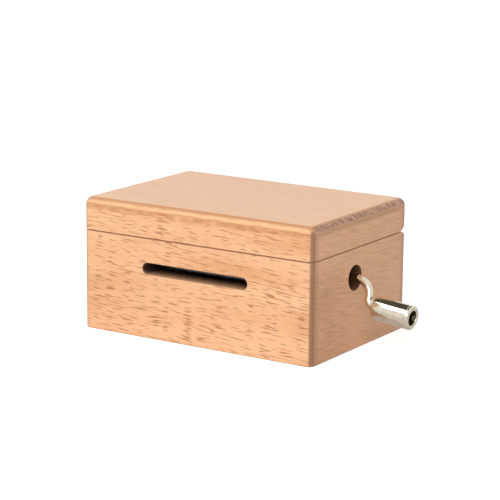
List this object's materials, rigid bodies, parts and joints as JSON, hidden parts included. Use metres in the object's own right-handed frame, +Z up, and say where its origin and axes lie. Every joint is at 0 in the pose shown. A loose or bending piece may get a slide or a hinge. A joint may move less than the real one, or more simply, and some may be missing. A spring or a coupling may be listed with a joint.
{
  "type": "hand crank music box",
  "caption": "Hinged hardwood case with slots for a punched paper strip, played by a movement that a bent wire crank on the right side turns.",
  "frame": {"origin": "centre of the case's underside", "axes": "+X towards the crank, +Y towards the hinged back, +Z up"},
  "size_m": [0.1203, 0.065, 0.048],
  "materials": {
    "beech": "sanded and sealed beech, satin",
    "nickel": "bright nickel plate on steel",
    "zinc_casting": "die cast zinc, tumbled",
    "comb_steel": "ground tempered steel",
    "spring_steel": "rolled spring steel",
    "brass": "bright brass",
    "rubber": "matt moulded rubber",
    "acetal": "moulded acetal, natural white"
  },
  "bodies": {
    "case": {"box_body": "beech", "base_frame": "zinc_casting", "gear_bridge": "zinc_casting", "comb": "comb_steel", "guide_plate": "spring_steel", "brake_spring": "spring_steel", "pinch_spring": "spring_steel", "comb_screw_left": "nickel", "comb_screw_right": "nickel", "spring_screw_left": "nickel", "spring_screw_right": "nickel", "bridge_screw_upper": "nickel", "bridge_screw_lower": "nickel", "mounting_screw_1": "nickel", "mounting_screw_2": "nickel", "mounting_screw_3": "nickel", "mounting_screw_4": "nickel", "star_shaft": "nickel", "hinge_left_body_leaf": "brass", "hinge_left_pin": "brass", "hinge_left_body_screw_outer": "brass", "hinge_left_body_screw_inner": "brass", "hinge_right_body_leaf": "brass", "hinge_right_pin": "brass", "hinge_right_body_screw_outer": "brass", "hinge_right_body_screw_inner": "brass"},
    "lid": {"box_lid": "beech", "hinge_left_lid_leaf": "brass", "hinge_right_lid_leaf": "brass", "hinge_left_lid_screw_outer": "brass", "hinge_left_lid_screw_inner": "brass", "hinge_right_lid_screw_outer": "brass", "hinge_right_lid_screw_inner": "brass"},
    "crank": {"crank_shaft": "nickel", "crank_pinion": "brass", "crank_wire": "nickel", "handle_rivet": "nickel"},
    "handle": {"crank_handle": "nickel"},
    "feed_roller": {"feed_shaft": "nickel", "feed_tyre_left": "rubber", "feed_tyre_right": "rubber", "feed_gear": "acetal"},
    "pinch": {"pinch_roller": "nickel"},
    "star_01": {"star_wheel_01": "brass"},
    "star_02": {"star_wheel_02": "brass"},
    "star_03": {"star_wheel_03": "brass"},
    "star_04": {"star_wheel_04": "brass"},
    "star_05": {"star_wheel_05": "brass"},
    "star_06": {"star_wheel_06": "brass"},
    "star_07": {"star_wheel_07": "brass"},
    "star_08": {"star_wheel_08": "brass"},
    "star_09": {"star_wheel_09": "brass"},
    "star_10": {"star_wheel_10": "brass"},
    "star_11": {"star_wheel_11": "brass"},
    "star_12": {"star_wheel_12": "brass"},
    "star_13": {"star_wheel_13": "brass"},
    "star_14": {"star_wheel_14": "brass"},
    "star_15": {"star_wheel_15": "brass"}
  },
  "joints": [
    {"name": "lid_hinge", "type": "hinge", "parent": "case", "child": "lid", "pos_m": [0, 0.0312, 0.036], "axis": [-1, 0, 0], "range_deg": [0, 110]},
    {"name": "crank_turn", "type": "hinge", "parent": "case", "child": "crank", "pos_m": [0.0375, -0.004, 0.0256], "axis": [1, 0, 0], "continuous": true},
    {"name": "handle_spin", "type": "hinge", "parent": "crank", "child": "handle", "pos_m": [0.05732, -0.0068, 0.01697], "axis": [0.9945, -0.0323, -0.0994], "continuous": true},
    {"name": "feed_turn", "type": "hinge", "parent": "case", "child": "feed_roller", "pos_m": [0, -0.01182, 0.02115], "axis": [1, 0, 0], "continuous": true},
    {"name": "pinch_turn", "type": "hinge", "parent": "case", "child": "pinch", "pos_m": [0, -0.01182, 0.02845], "axis": [1, 0, 0], "continuous": true},
    {"name": "star_turn_01", "type": "hinge", "parent": "case", "child": "star_01", "pos_m": [-0.014, -0.0015, 0.0287], "axis": [1, 0, 0], "continuous": true},
    {"name": "star_turn_02", "type": "hinge", "parent": "case", "child": "star_02", "pos_m": [-0.012, -0.0015, 0.0287], "axis": [1, 0, 0], "continuous": true},
    {"name": "star_turn_03", "type": "hinge", "parent": "case", "child": "star_03", "pos_m": [-0.01, -0.0015, 0.0287], "axis": [1, 0, 0], "continuous": true},
    {"name": "star_turn_04", "type": "hinge", "parent": "case", "child": "star_04", "pos_m": [-0.008, -0.0015, 0.0287], "axis": [1, 0, 0], "continuous": true},
    {"name": "star_turn_05", "type": "hinge", "parent": "case", "child": "star_05", "pos_m": [-0.006, -0.0015, 0.0287], "axis": [1, 0, 0], "continuous": true},
    {"name": "star_turn_06", "type": "hinge", "parent": "case", "child": "star_06", "pos_m": [-0.004, -0.0015, 0.0287], "axis": [1, 0, 0], "continuous": true},
    {"name": "star_turn_07", "type": "hinge", "parent": "case", "child": "star_07", "pos_m": [-0.002, -0.0015, 0.0287], "axis": [1, 0, 0], "continuous": true},
    {"name": "star_turn_08", "type": "hinge", "parent": "case", "child": "star_08", "pos_m": [0, -0.0015, 0.0287], "axis": [1, 0, 0], "continuous": true},
    {"name": "star_turn_09", "type": "hinge", "parent": "case", "child": "star_09", "pos_m": [0.002, -0.0015, 0.0287], "axis": [1, 0, 0], "continuous": true},
    {"name": "star_turn_10", "type": "hinge", "parent": "case", "child": "star_10", "pos_m": [0.004, -0.0015, 0.0287], "axis": [1, 0, 0], "continuous": true},
    {"name": "star_turn_11", "type": "hinge", "parent": "case", "child": "star_11", "pos_m": [0.006, -0.0015, 0.0287], "axis": [1, 0, 0], "continuous": true},
    {"name": "star_turn_12", "type": "hinge", "parent": "case", "child": "star_12", "pos_m": [0.008, -0.0015, 0.0287], "axis": [1, 0, 0], "continuous": true},
    {"name": "star_turn_13", "type": "hinge", "parent": "case", "child": "star_13", "pos_m": [0.01, -0.0015, 0.0287], "axis": [1, 0, 0], "continuous": true},
    {"name": "star_turn_14", "type": "hinge", "parent": "case", "child": "star_14", "pos_m": [0.012, -0.0015, 0.0287], "axis": [1, 0, 0], "continuous": true},
    {"name": "star_turn_15", "type": "hinge", "parent": "case", "child": "star_15", "pos_m": [0.014, -0.0015, 0.0287], "axis": [1, 0, 0], "continuous": true}
  ],
  "couplings": [
    {"joint": "feed_turn", "follows": "crank_turn", "ratio": -0.5},
    {"joint": "pinch_turn", "follows": "crank_turn", "ratio": 0.75}
  ]
}
